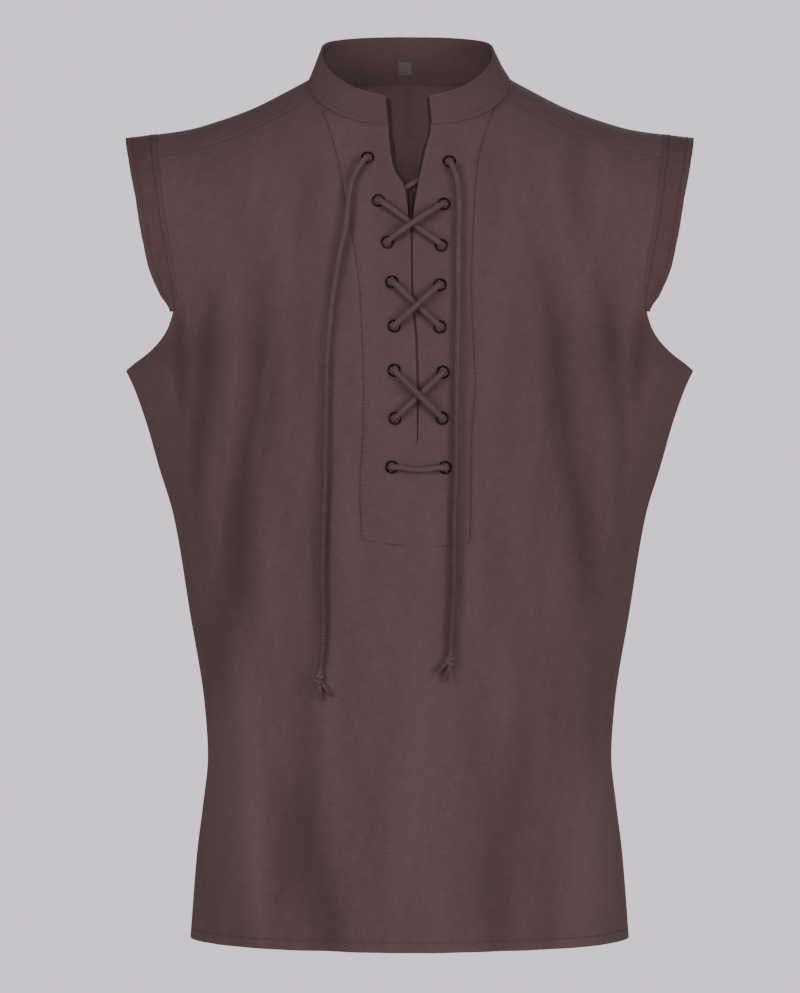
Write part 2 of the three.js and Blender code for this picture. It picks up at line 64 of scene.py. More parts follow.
armhole = [  # height, end of the panel, free edge of the band
    (-242, 235.5, 235.5), (-239, 231.5, 231.5), (-229, 215, 215), (-219, 203.5, 203.5),
    (-209, 196.5, 196.5), (-196, 192, 194.5), (-181, 190, 202.5), (-157, 192.5, 212),
    (-132, 197, 217.5), (-107, 201, 222), (-67, 207, 230.5), (-45, 211, 235.5)]
slitEdges = [(-304, 5.5, 6.3), (-260, 5.1, 7.3), (-223, 4.2, 6.3), (-186, 1, 3), (-140, 0.3, 2.3),
             (-120, -1.4, 2.8), (-98, -4.2, 6), (-80, -13.5, 9.5), (-66, -15.8, 12.5), (-51, -17.3, 16.8)]
form = {"cloth": 1.6, "collarCloth": 2.2, "gap": 0.35, "hem": -711, "underarm": -242, "notch": -196,
        "round": 60, "seamTurn": 0.665, "bandLift": 0.4, "slitFoot": -304, "slitX": 5.9, "tipX": 212}

# Folds in the front, -1, and the back, 1: middle line from top x, z to low x, z, half width, depth inward
folds = {
    -1: [(-116, -150, -158, -530, 15, 8), (-162, -165, -176, -350, 9, 6),
        (-140, -170, -150, -360, 10, -3), (-190, -185, -187, -290, 7, 5), (108, -145, 156, -450, 15, 7),
        (160, -170, 174, -300, 9, 5), (190, -190, 186, -280, 7, 5), (-136, -420, -128, -711, 18, -5),
        (-104, -560, -56, -760, 24, 6), (88, -520, 62, -740, 22, 5), (150, -540, 146, -760, 16, -5)],
    1: [(-128, -150, -150, -470, 16, 8), (120, -160, 158, -510, 15, 7), (-60, -380, -84, -760, 22, 7),
        (34, -430, 46, -740, 24, 6), (-14, -460, -22, -760, 20, -5), (188, -190, 184, -300, 8, 5),
        (-188, -180, -182, -310, 8, 5)]}
# Smaller creases, which only the looks have
creases = {
    -1: [(12, -430, 6, -760, 26, -2.6), (-84, -400, -92, -700, 13, 1.6), (118, -470, 112, -740, 12, 0.3),
        (-30, -470, -24, -740, 12, 1.5), (40, -480, 34, -720, 11, 1.3),
        (-126, -230, -134, -420, 7, -1.4), (-100, -190, -118, -330, 6, 1.2),
        (88, -170, 104, -330, 6, 1.3), (128, -200, 146, -400, 6, -1.5), (-96, -110, -124, -200, 5, 1.1),
        (92, -110, 118, -210, 5, 1), (176, -230, 172, -400, 6, 1.6), (-178, -250, -170, -430, 6, 1.8),
        (-60, -420, -72, -600, 8, -1.2), (74, -400, 88, -600, 9, -1.3), (-160, -400, -152, -560, 7, 1.5),
        (152, -420, 150, -580, 7, 1.5), (-70, -60, -96, -150, 6, 0.8), (74, -60, 98, -150, 6, 0.8),
        (130, -60, 150, -160, 9, 0.9), (-132, -60, -152, -170, 9, 0.9), (-110, -600, -104, -760, 9, 1.4),
        (96, -620, 100, -770, 8, 1.4), (-160, -620, -164, -770, 7, 1.6),
        (-102, -140, -138, -400, 4, -0.9), (-132, -170, -160, -420, 4, -0.9),
        (96, -140, 136, -380, 4, -0.8), (128, -170, 156, -400, 4, -0.8), (-86, -150, -90, -350, 8, 1.2),
        (-150, -420, -148, -740, 9, -1.2), (-122, -560, -110, -760, 8, 1.2),
        (-108, -64, -120, -170, 9, 1), (-86, -70, -92, -170, 8, 1), (102, -66, 112, -170, 10, 1),
        (128, -500, 120, -700, 8, -0.9), (-169, -430, -166, -540, 3, 1.4),
        (-172, -560, -171, -700, 3, 1.5), (167, -440, 163, -560, 3, 1.4), (171, -580, 170, -705, 3, 1.4),
        (-160, -480, -155, -590, 4, -1), (158, -500, 156, -640, 4, -1)],
    1: [(-168, -440, -166, -560, 3, 1.4), (170, -520, 168, -690, 3, 1.4), (158, -420, 160, -560, 4, -1),
        (-96, -200, -112, -400, 7, 1.5), (92, -190, 114, -380, 7, 1.4), (0, -120, 6, -420, 14, 1.4),
        (-40, -90, -52, -330, 9, 1), (46, -90, 58, -320, 9, 1), (-120, -420, -128, -720, 11, -2),
        (108, -440, 104, -740, 12, -2), (80, -560, 84, -780, 9, 1.6), (-36, -560, -40, -780, 9, 1.4),
        (150, -240, 160, -420, 7, 1.6), (-156, -230, -164, -430, 7, 1.6),
        (-100, -560, -104, -780, 8, 1.5), (10, -560, 12, -780, 8, 1.2), (136, -520, 140, -760, 9, 1.8),
        (-150, -540, -146, -770, 9, 1.8)]}
waves = [(dice.uniform(30, 80), dice.uniform(110, 420) * dice.choice((-1, 1)), dice.uniform(0, 6.3), 0.26)
         for _ in range(10)]  # length across and up, shift, height
waves += [(dice.uniform(11, 24), dice.uniform(45, 130) * dice.choice((-1, 1)), dice.uniform(0, 6.3), 0.06)
          for _ in range(10)]

# Stitched outline of the facing behind the slit
facing = [(-71.3, -31.7), (-67.2, -43.1), (-62.1, -58.8), (-58, -74.8), (-55.5, -88), (-42.5, -160.1),
          (-40.1, -180.3), (-38.5, -213.2), (-36.9, -259.8), (-37.7, -295.9), (-39.6, -323.9),
          (-40.1, -351.2), (-38.7, -378.5), (-35.3, -381.7), (-11.2, -384.9), (14.5, -386.5), (31.3, -385.7),
          (45.6, -384), (48.1, -380.1), (48.9, -341.6), (49.3, -295.9), (52.6, -257.3), (50.3, -213.2),
          (49, -176.2), (50.4, -133.7), (52.4, -99), (54, -84.5), (56.6, -66.4), (62.4, -46.3), (71.6, -23.2)]
seams = {"stitch": 2.3, "pitch": 3.1, "thread": 0.36, "hemFold": 8, "shoulderInset": 2.4, "bandLap": 1.2,
         "valley": 0.9, "valleyWide": 1.9}


def curveOf(table, column):  # smooth curve through one column, which never overshoots
    keys = np.array([row[0] for row in table], float)
    values = np.array([row[column] for row in table], float)
    slopes = np.diff(values) / np.diff(keys)
    tangents = np.concatenate(([slopes[0]], np.zeros(len(slopes) - 1), [slopes[-1]]))
    for k in range(1, len(slopes)):
        product = slopes[k - 1] * slopes[k]
        if product > 0:
            tangents[k] = 2 * product / (slopes[k - 1] + slopes[k])

    def read(at):
        at = np.clip(at, keys[0], keys[-1])
        row = np.clip(np.searchsorted(keys, at) - 1, 0, len(slopes) - 1)
        span = keys[row + 1] - keys[row]
        t = (at - keys[row]) / span
        rise = t * t * (3 - 2 * t)
        return (values[row] * (1 - rise) + values[row + 1] * rise
                + span * t * (1 - t) * (tangents[row] * (1 - t) - tangents[row + 1] * t))
    return read


halfAt, frontAt, backAt, closeAt = [curveOf(body, column) for column in (1, 2, 3, 4)]
panelAt, bandAt = curveOf(armhole, 1), curveOf(armhole, 2)
slitLeft, slitRight = curveOf(slitEdges, 1), curveOf(slitEdges, 2)
shoulderCurve = curveOf(shoulderLine, 1)


def shoulderZ(x):
    return shoulderCurve(np.abs(x))


def bell(value, wide):
    return np.exp(-(value / wide) ** 2)


def unit(vectors):
    return vectors / np.linalg.norm(vectors, axis=-1, keepdims=True)


def wayAlong(points):  # from the first point of a line to each one
    return np.concatenate([[0], np.cumsum(np.linalg.norm(np.diff(points, axis=0), axis=1))])


def foldSum(x, z, facingSide, table, ease=0.8):
    depth = np.zeros(np.broadcast(x, z).shape)
    for side in table:
        for topX, topZ, lowX, lowZ, wide, deep in table[side]:
            t = (z - topZ) / (lowZ - topZ)
            inside = (t > 0) & (t < 1) & (facingSide == side)
            swell = np.sin(math.pi * np.clip(t, 0.0001, 0.9999)) ** ease
            depth = depth + np.where(inside, deep * swell * bell(x - topX - (lowX - topX) * t, wide), 0)
    return depth


def smoothStep(value, low, high):
    t = np.clip((value - low) / (high - low), 0, 1)
    return t * t * (3 - 2 * t)


def nearLine(x, z, line):  # distance to a line of x, z points, and the way along it
    best = np.full(np.broadcast(x, z).shape, 1e9)
    along = np.zeros(best.shape)
    run = 0.0
    for (ax, az), (bx, bz) in zip(line[:-1], line[1:]):
        dx, dz = bx - ax, bz - az
        size = math.hypot(dx, dz)
        t = np.clip(((x - ax) * dx + (z - az) * dz) / size ** 2, 0, 1)
        far = np.hypot(x - ax - t * dx, z - az - t * dz)
        along = np.where(far < best, run + t * size, along)
        best = np.minimum(best, far)
        run += size
    return best, along


def fineDepth(x, z, facingSide):  # creases, drape and seam valleys that the looks add
    depth = foldSum(x, z, facingSide, creases, 1.5)
    level = 1 - smoothStep(np.abs(x) / halfAt(z), 0.7, 0.97)
    for across, up, phase, high in waves:
        depth = depth + level * high * np.sin(2 * math.pi * (x / across + z / up) + phase + 1.7 * facingSide)
    laced = (1 - smoothStep(np.abs(x - 5), 30, 52)) * smoothStep(z, -375, -345)
    depth = depth * (1 - 0.9 * np.where(facingSide < 0, laced, 0)) * smoothStep(-z, 20, 70)
    far, along = nearLine(x, z, facing)
    valley = seams["valley"] * bell(far, seams["valleyWide"])
    pucker = 0.2 * np.sin(along * 2 * math.pi / 8.3 + 0.7 * np.sin(along / 17)) * bell(far, 5)
    above = z - form["hem"]
    hemValley = 0.25 * bell(above - seams["hemFold"], 1.2)
    hemPucker = 0.28 * np.sin(x * 2 * math.pi / 9.7 + above / 3) * bell(above - 7, 7)
    return depth + np.where(facingSide < 0, valley + pucker, 0) + hemValley + hemPucker


def bodyPoint(x, way, side, fine=True):
    x, way = np.broadcast_arrays(np.asarray(x, float), np.asarray(way, float))
    turn = np.maximum(way, 0) / form["round"]
    z = shoulderZ(x) - form["round"] * (1 - np.sin(turn)) + np.minimum(way, 0)
    facingSide = np.where(np.cos(turn) < 0, -side, side)
    bulge = np.maximum(0, 1 - (x / halfAt(z)) ** 2) ** closeAt(z)
    close = np.cos(turn)
    if fine:  # the looks ease into the shoulder's curve
        eased = np.cos((way + np.sqrt(way * way + 420)) / 2 / form["round"])
        close = close + (eased - close) * (1 - smoothStep(way, 12, 52))
    depth = np.where(facingSide < 0, frontAt(z), backAt(z)) * bulge * np.abs(close)
    folded = foldSum(x, z, facingSide, folds)
    if fine:
        folded = folded + fineDepth(x, z, facingSide)
    folded = folded * np.minimum(1, depth / 40)
    return np.stack([x, facingSide * (depth - folded), z], -1)


def bodyNormal(x, way, side, step=0.4):
    across = bodyPoint(x + step, way, side, False) - bodyPoint(x - step, way, side, False)
    up = bodyPoint(x, way + step, side, False) - bodyPoint(x, way - step, side, False)
    return unit(-side * np.cross(across, up))


def wayAt(x, z):
    below = z - shoulderZ(x) + form["round"]
    over = form["round"] * np.arcsin(np.clip(below / form["round"], 0, 1))
    return np.where(below <= 0, below, over)


def offFront(x, z, lift, fine=False):  # a point out from the front's cloth
    way = wayAt(x, z)
    return bodyPoint(x, way, -1, fine) + bodyNormal(x, way, -1) * lift


def alongPoints(points, t):  # centripetal curve through points, t from 0 to 1 evenly over them
    points = np.asarray(points, float)
    ends = [2 * points[0] - points[1], 2 * points[-1] - points[-2]]
    full = np.vstack([ends[0], points, ends[1]])
    place = np.clip(np.atleast_1d(t), 0, 1) * (len(points) - 1)
    k = np.minimum(place.astype(int), len(points) - 2)
    w = (place - k)[:, None]
    p0, p1, p2, p3 = full[k], full[k + 1], full[k + 2], full[k + 3]
    d0, d1, d2 = [np.maximum(np.linalg.norm(b - a, axis=1) ** 0.5, 1e-4)[:, None]
                  for a, b in ((p0, p1), (p1, p2), (p2, p3))]
    m1 = ((p1 - p0) / d0 - (p2 - p0) / (d0 + d1) + (p2 - p1) / d1) * d1
    m2 = ((p2 - p1) / d1 - (p3 - p1) / (d1 + d2) + (p3 - p2) / d2) * d1
    return p1 + m1 * w + (3 * (p2 - p1) - 2 * m1 - m2) * w ** 2 + (2 * (p1 - p2) + m1 + m2) * w ** 3


def evenly(points, pitch):  # points at an equal pitch along a dense line
    lengths = wayAlong(points)
    count = max(2, int(round(lengths[-1] / pitch)) + 1)
    at = np.linspace(0, lengths[-1], count)
    return np.stack([np.interp(at, lengths, points[:, k]) for k in range(points.shape[1])], 1)


# Shader maths written as sums
class Wire:
    def __init__(self, finish, socket):
        self.finish, self.socket = finish, socket

    def sum(self, operation, first, second):
        return self.finish.node("ShaderNodeMath", {"operation": operation}, {0: first, 1: second})

    def __add__(self, other): return self.sum("ADD", self, other)
    def __radd__(self, other): return self.sum("ADD", other, self)
    def __sub__(self, other): return self.sum("SUBTRACT", self, other)
    def __mul__(self, other): return self.sum("MULTIPLY", self, other)

    def sine(self, length):  # one wave for each length
        return self.finish.node("ShaderNodeMath", {"operation": "SINE"}, {0: self * (2 * math.pi / length)})


class Finish:
    def __init__(self, name, **fixed):
        self.material = bpy.data.materials.new(name)
        self.material.use_nodes = True
        self.tree = self.material.node_tree
        self.shader = self.tree.nodes["Principled BSDF"]
        for key, value in fixed.items():
            self.shader.inputs[key.replace("_", " ")].default_value = value

    def node(self, kind, settings=None, inputs=None, out=0):
        made = self.tree.nodes.new(kind)
        for key, value in (settings or {}).items():
            setattr(made, key, value)
        for key, value in (inputs or {}).items():
            if isinstance(value, Wire):
                self.tree.links.new(value.socket, made.inputs[key])
            else:
                made.inputs[key].default_value = value
        return Wire(self, made.outputs[out])

    def place(self):
        return self.node("ShaderNodeTexCoord", out="Object")

    def weave(self):
        return self.node("ShaderNodeUVMap", {"uv_map": "weave"})

    def attribute(self, name):
        return self.node("ShaderNodeAttribute", {"attribute_name": name}, out="Fac")

    def feed(self, name, wire):
        self.tree.links.new(wire.socket, self.shader.inputs[name])

    def blend(self, factor, first, second):
        return self.node("ShaderNodeMix", {"data_type": "RGBA", "clamp_factor": True},
                         {0: factor, 6: (*first, 1), 7: (*second, 1)}, 2)

    def noise(self, vector, scale, detail=3, rough=0.55):
        return self.node("ShaderNodeTexNoise", {}, {"Vector": vector, "Scale": scale, "Detail": detail,
                                                    "Roughness": rough})

    def streaks(self, vector, rates, detail=3, rough=0.55):  # a noise with its own rate each way
        stretched = self.node("ShaderNodeVectorMath", {"operation": "MULTIPLY"}, {0: vector, 1: rates})
        return self.noise(stretched, 1, detail, rough)

    def bump(self, height, distance, strength):
        self.feed("Normal", self.node("ShaderNodeBump", {}, {"Height": height, "Distance": distance,
                                                             "Strength": strength}))


# The gains "inside", "turned" and "lining" make lit and shaded copies of one cloth. "inside" is lighter:
# painted light on the panels' inner faces. "turned" and "lining" are darker: painted shade on the facing's
# curl and inside the collar.
clothLook = {"dark": (0.062, 0.0360, 0.0345), "pale": (0.108, 0.0665, 0.0635), "thread": 0.0018,
             "rough": 0.88, "weaveDepth": 0.0003, "inside": 1.35, "turned": 0.58, "lining": 0.8}
laceLook = {"dark": (0.045, 0.0275, 0.026), "pale": (0.112, 0.069, 0.066), "rough": 0.86}
threadLook = {"dark": (0.028, 0.017, 0.0165), "pale": (0.056, 0.035, 0.0335), "rough": 0.75}
metalLook = {"dark": (0.004, 0.004, 0.0045), "worn": (0.03, 0.029, 0.028), "rough": 0.25, "coat": 0.2}
labelLook = {"dark": (0.054, 0.041, 0.036), "pale": (0.087, 0.069, 0.06), "rib": 0.0005}


def clothFinish(name, gain=1.0):
    finish = Finish(name, Roughness=clothLook["rough"], Sheen_Weight=0.02, Sheen_Roughness=0.5,
                    Specular_IOR_Level=0.15)
    weave, place = finish.weave(), finish.place()
    slub = (finish.streaks(weave, (1900, 90, 1), 2) + finish.streaks(weave, (90, 1900, 1), 2)) * 0.5
    over, under = [finish.node("ShaderNodeSeparateXYZ", {}, {0: weave}, axis).sine(clothLook["thread"])
                   for axis in (0, 1)]
    mottle = finish.noise(place, 95, 4, 0.65)
    patches = finish.streaks(place, (24, 24, 3), 3, 0.5)
    # The "sunk" layer takes colour off where it is positive (painted shade) and adds colour where it is
    # negative (painted light). "edge" lightens rubbed edges.
    factor = (0.52 + (mottle - 0.5) * 0.4 + (patches - 0.5) * 0.4 + (slub - 0.5) * 1.5
              + finish.attribute("edge") * 0.1 + over * under * 0.26 - finish.attribute("sunk") * 0.62)
    dark, pale = [tuple(gain * value for value in clothLook[key]) for key in ("dark", "pale")]
    finish.feed("Base Color", finish.blend(factor, dark, pale))
    finish.feed("Roughness", clothLook["rough"] + (slub - 0.5) * 0.16)
    finish.bump(slub * 1.2 + over * under * 0.3 + mottle * 0.5, clothLook["weaveDepth"], 0.75)
    return finish


def laceFinish():
    finish = Finish("cottonBraid", Roughness=laceLook["rough"], Sheen_Weight=0.02, Sheen_Roughness=0.5,
                    Specular_IOR_Level=0.15)
    yarn = finish.streaks(finish.weave(), (2200, 700, 1))
    worn = finish.noise(finish.place(), 120)
    # Braid crests are lighter and the hollows between strands darker, from the ridge in the edge layer:
    # painted light and painted shade. The sunk layer here is the soiling of the tails.
    factor = ((yarn - 0.5) * 0.7 + (worn - 0.5) * 0.5 + finish.attribute("edge") * 0.75 + 0.12
              - finish.attribute("sunk"))
    finish.feed("Base Color", finish.blend(factor, laceLook["dark"], laceLook["pale"]))
    finish.feed("Roughness", laceLook["rough"] + (yarn - 0.5) * 0.15)
    finish.bump(yarn, 0.0002, 0.7)
    return finish


def metalFinish():
    finish = Finish("blackenedMetal", Metallic=0.85, Roughness=metalLook["rough"],
                    Coat_Weight=metalLook["coat"], Coat_Roughness=0.12)
    place = finish.place()
    scuff, wear = finish.noise(place, 900, 4, 0.7), finish.noise(place, 260, 3, 0.6)
    finish.feed("Base Color", finish.blend((wear - 0.5) * 1.4, metalLook["dark"], metalLook["worn"]))
    finish.feed("Roughness", metalLook["rough"] + (scuff - 0.5) * 0.3)
    finish.bump(scuff, 0.00005, 0.4)
    return finish


def labelFinish():
    finish = Finish("wovenLabel", Roughness=0.6, Sheen_Weight=0.1, Specular_IOR_Level=0.4)
    weave = finish.weave()
    rib = finish.node("ShaderNodeSeparateXYZ", {}, {0: weave}).sine(labelLook["rib"])
    cloud = finish.streaks(weave, (300, 2400, 1), 2)
    finish.feed("Base Color", finish.blend(0.5 + rib * 0.18 + (cloud - 0.5) * 0.9, labelLook["dark"],
                                           labelLook["pale"]))
    finish.feed("Roughness", 0.62 + rib * 0.08)
    finish.bump(rib + cloud, 0.00012, 0.6)
    return finish


def threadFinish():
    finish = Finish("sewingThread", Roughness=threadLook["rough"], Specular_IOR_Level=0.3)
    twist = finish.noise(finish.place(), 2600, 2)
    finish.feed("Base Color", finish.blend(twist, threadLook["dark"], threadLook["pale"]))
    finish.feed("Roughness", threadLook["rough"] + (twist - 0.5) * 0.2)
    finish.bump(twist, 0.0001, 0.6)
    return finish


cotton = clothFinish("dyedCotton")
cottonInsideLit, cottonTurnedShade, cottonLiningShade = [clothFinish("dyedCotton" + use.title(), clothLook[use])
                                            for use in ("inside", "turned", "lining")]
braid, metal, woven, thread = laceFinish(), metalFinish(), labelFinish(), threadFinish()


# Meshes
def addPiece(name, mesh, finish, nodes=()):
    data = bpy.data.meshes.new(name)
    mesh.to_mesh(data)
    mesh.free()
    data.shade_smooth()
    piece = bpy.data.objects.new(name, data)
    bpy.context.scene.collection.objects.link(piece)
    data.materials.append(finish.material)
    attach(piece, "root")
    if nodes:
        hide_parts(*nodes)
    return piece


def clothMesh():
    mesh = bmesh.new()
    mesh.loops.layers.uv.new("weave")
    # The "edge" layer holds rubbed wear on cloth. On laces it holds the braid ridge, which paints light on
    # crests and shade in hollows. The "sunk" layer holds painted shade and light from the cloth's depth, and
    # the soiling of the lace tails.
    mesh.verts.layers.float.new("edge")
    mesh.verts.layers.float.new("sunk")
    return mesh


def shapedGrid(mesh, points, flat, edge=0.0, sunk=0.0):  # points by row and column, in metres
    rows, columns = points.shape[0] - 1, points.shape[1] - 1
    edge, sunk = [np.broadcast_to(values, points.shape[:2]) for values in (edge, sunk)]
    made = bmesh.ops.create_grid(mesh, x_segments=columns, y_segments=rows, size=1)["verts"]
    # worn carries the edge layer: wear on cloth, and painted light and shade of the braid on laces.
    weave, worn = mesh.loops.layers.uv["weave"], mesh.verts.layers.float["edge"]
    low = mesh.verts.layers.float["sunk"]
    places = {}
    for vert in made:
        i, j = round((vert.co.y + 1) / 2 * rows), round((vert.co.x + 1) / 2 * columns)
        places[vert] = flat[i, j]
        vert[worn] = edge[i, j]
        vert[low] = sunk[i, j]
        vert.co = points[i, j]
    for face in {face for vert in made for face in vert.link_faces}:
        for loop in face.loops:
            loop[weave].uv = places[loop.vert]
    return made


def sheetMesh(points, edge=0.0, sunk=0.0):  # one sheet of points in millimetres, facing out
    mesh = clothMesh()
    shapedGrid(mesh, points * mm, flatPlaces(points) * mm, edge, sunk)
    return mesh


def thicken(piece, thickness, rim=0.35, steps=2, lining=None):
    wall = piece.modifiers.new("wall", "SOLIDIFY")
    if lining:
        piece.data.materials.append(lining.material)
        wall.material_offset = 1
    wall.thickness = thickness * mm
    wall.offset = -1
    wall.use_even_offset = False
    bevel = piece.modifiers.new("rim", "BEVEL")
    bevel.width = rim * mm
    bevel.segments = steps
    bevel.limit_method = "ANGLE"
    bevel.angle_limit = math.radians(62)
    return piece


def flatPlaces(points):  # cloth co-ordinates from lengths along the rows, up from the first row
    across = np.linalg.norm(np.diff(points, axis=1), axis=2)
    u = np.concatenate([np.zeros((len(points), 1)), np.cumsum(across, axis=1)], axis=1)
    v = wayAlong(points[:, points.shape[1] // 2])
    return np.stack([u, np.repeat(v[:, None], u.shape[1], 1)], -1)


def rowsOf(heights, turns):
    heights, turns = np.asarray(heights, float), np.asarray(turns, float)
    z = np.concatenate([heights, shoulderZ(form["tipX"]) - form["round"] * (1 - np.sin(turns))])
    panel = np.where(z <= form["underarm"], halfAt(z), panelAt(z))
    edge = np.where(z <= form["underarm"], halfAt(z), bandAt(z))
    length = shoulderZ(panel) - form["round"] - form["hem"]
    up = np.where(np.arange(len(z)) < len(heights), (z - form["hem"]) / length, 1)
    turn = np.concatenate([np.zeros(len(heights)), turns])
    return {"z": z, "panel": panel, "edge": edge, "up": up, "turn": turn}


def wayOf(rows, x):
    shape = (-1,) + (1,) * (np.ndim(x) - 1)
    turn, up = rows["turn"].reshape(shape), rows["up"].reshape(shape)
    return np.where(turn > 0, turn * form["round"], (up - 1) * (shoulderZ(x) - form["round"] - form["hem"]))


# Neckline, as x and way over the shoulder, with the collar's upper edge
collarStations = [(17.7, -7, 17.7, -66, -20.5), (40, -1, 40, -60, -14), (62, 16, 57, -45, -3),
                  (77, 42, 68, -26, 10), (83.5, 94, 72, 0, 24), (77, 121, 67, 24, 34),
                  (45, 139, 41, 44, 40), (0, 147, 0, 50, 41.5)]
neckRing = [(-x, way, -topX, topY, topZ) for x, way, topX, topY, topZ in collarStations]
neckRing += collarStations[-2::-1]
neckRing = np.array(neckRing, float)
neckLine = alongPoints(neckRing[:, :2], np.linspace(0, 0.5, 400))


def neckX(way):
    return np.interp(way, neckLine[:, 1], -neckLine[:, 0])


def collarPoint(t, up):  # outer face of the collar
    seam = alongPoints(neckRing[:, :2], t)
    low = bodyPoint(seam[:, 0], seam[:, 1], -1, False)
    tops = neckRing[:, 2:] + np.array([-2, 0, 0])
    high = alongPoints(tops, t)
    along = alongPoints(tops, np.minimum(1, t + 0.004)) - alongPoints(tops, np.maximum(0, t - 0.004))
    outward = unit(np.stack([-along[:, 1], along[:, 0], np.zeros(len(along))], 1))
    return low + (high - low) * np.reshape(up, (-1, 1)), outward


def innerEdge(rows, hand, isFront):
    x = np.full(len(rows["z"]), 6.0) * hand
    for _ in range(5):
        way = wayOf(rows, x)
        if isFront:
            z = bodyPoint(x, way, -1, False)[:, 2]
            slit = slitRight(z) if hand > 0 else slitLeft(z)
            low = np.where(z < form["slitFoot"], form["slitX"], slit)
            x = np.where(way > collarStations[0][1], hand * neckX(way), low)
        else:
            over = math.pi * form["round"] - way
            x = np.where(over < collarStations[-1][1], hand * neckX(over), 0)
    return x


# Columns lie closer at the sides, and at the facing's stitching
panel = {"sides": 0.985, "atFacing": 1.8, "facingAt": 0.25, "facingWide": 0.06, "tuck": 1.7,
         "worn": (5, 2.2, 3), "stitchWorn": 0.7, "neckShade": 0.6, "seamWide": 4, "cut": 4.3, "hole": 4.4,
         "holeReach": 8}


def panelPiece(name, node, side, rows, columns):
    mesh = clothMesh()
    fineG = np.linspace(0, 1, 2000)
    crowd = 1 / np.sqrt(1 - (panel["sides"] * fineG) ** 2)
    if side < 0:
        crowd = crowd + panel["atFacing"] * bell(fineG - panel["facingAt"], panel["facingWide"])
    crowd = np.concatenate([[0], np.cumsum((crowd[1:] + crowd[:-1]) / 2)])
    g = np.interp(np.linspace(0, 1, columns + 1), crowd / crowd[-1], fineG)
    middle = []
    for hand in (-1, 1):
        inner = innerEdge(rows, hand, side < 0)[:, None]
        x = hand * rows["panel"][:, None] * g + inner * (1 - g) ** 2
        way = wayOf(rows, x)
        points = bodyPoint(x, way, side)
        if side < 0:  # the front's edge is tucked under the back along the shoulder
            seamWay = form["seamTurn"] * form["round"]
            tuck = panel["tuck"] * smoothStep(way, seamWay - 0.9, seamWay + 0.3)
            points = points - bodyNormal(x, way, side) * tuck[..., None]
        seam = rows["z"] <= form["underarm"]
        points[seam, -1, 1] = side * 0.03
        level = points[:, :, 2]
        atHem, atSlit, atSide = panel["worn"]
        edge = (bell(level - form["hem"], atHem) + bell(x - inner, atSlit) * (rows["z"] > -330)[:, None]
                + bell(np.abs(x) - rows["panel"][:, None], atSide))
        if side < 0:
            edge = edge + panel["stitchWorn"] * bell(nearLine(x, level, facing)[0], 2)
        # sunk darkens the colour where folds, creases, drape and seam valleys lie deep (painted shade) and
        # lightens raised folds (painted light).
        sunk = (foldSum(x, level, side, folds) + fineDepth(x, level, side)) / 8
        # neckShade is a painted shadow along the panels' inner edge near the top, under the collar.
        sunk = sunk + panel["neckShade"] * bell(np.abs(x) - np.abs(inner), panel["seamWide"]) * (way > -8)
        flipped = (hand < 0) == (side < 0)
        if flipped:
            points, edge, sunk = points[:, ::-1], edge[:, ::-1], sunk[:, ::-1]
        flat = flatPlaces(points)  # measured from the middle, so that threads run straight past the neck
        flat[..., 0] = flat[..., 0] - side * inner - (flat[:, -1:, 0] if flipped else 0)
        made = shapedGrid(mesh, points * mm, flat * mm, np.clip(edge, 0, 1), np.clip(sunk, -1, 1))
        middle += [vert for vert in made if abs(vert.co.x - (form["slitX"] * mm if side < 0 else 0)) < 1e-7]
    bmesh.ops.remove_doubles(mesh, verts=middle, dist=1e-6)
    for point, out in eyeletPlaces.values() if side < 0 else ():
        centre, axis = Vector(point * mm), Vector(out)
        spare = [face for face in mesh.faces
                 if (face.calc_center_median() - centre).length < panel["cut"] * mm]
        bmesh.ops.delete(mesh, geom=spare, context="FACES")
        for vert in mesh.verts:
            away = vert.co - centre
            if away.length < panel["holeReach"] * mm and vert.is_boundary:
                away -= axis * away.dot(axis)
                vert.co = centre + away.normalized() * panel["hole"] * mm
    # The panels' inner faces take the lighter inside copy: painted light on the shaded inside of the shirt.
    return thicken(addPiece(name, mesh, cotton, (node,)), form["cloth"] - 0.1, lining=cottonInsideLit)


eyelets = [  # left x, left z, right x, right z, from the neck down
    (-34.2, -72.9, 31.8, -76.1), (-25.4, -108.4, 27.2, -111.2), (-18.1, -142.3, 25, -144.8),
    (-14.5, -174.4, 23.9, -176.8), (-12.5, -209.8, 23.9, -210.5), (-12.6, -245.2, 26.3, -246.7),
    (-11.8, -283.5, 25.7, -283.5), (-14.5, -322.4, 28, -322.8)]
eyeletPlaces = {}
for number, (leftX, leftZ, rightX, rightZ) in enumerate(eyelets):
    for sideName, x, z in (("left", leftX, leftZ), ("right", rightX, rightZ)):
        eyeletPlaces[sideName, number] = (offFront(x, z, 0), bodyNormal(x, wayAt(x, z), -1))

# Laces
lace = {"radius": 2.25, "bend": 5, "straight": 0.6, "under": 2.7, "over": 7.5, "tailLift": 3.5,
        "relief": 0.5, "fill": 0.66, "soiled": 0.3, "soilFrom": (60, 320), "pitch": 0.8, "around": 24,
        "fluff": (0.45, 110)}
tails = {
    "left": [(-44.2, -88), (-48.4, -104), (-51, -129.6), (-56, -153.2), (-62.3, -195.8), (-65, -228.7),
             (-66.3, -268.6), (-66.9, -323.7), (-68.2, -359.7), (-69.2, -396.5), (-69.2, -419.8),
             (-68.6, -442.2), (-69, -465.5), (-71.4, -486)],
    "right": [(37.6, -92), (39.2, -108), (39.3, -123.3), (38.6, -150.9), (38.3, -204.7), (37.8, -224.7),
              (37, -260.6), (36.6, -292.5), (36.6, -324.5), (35.4, -356.5), (35.2, -396.5), (34.9, -419.8),
              (33.7, -442.2), (32.6, -460), (32.2, -471)]}


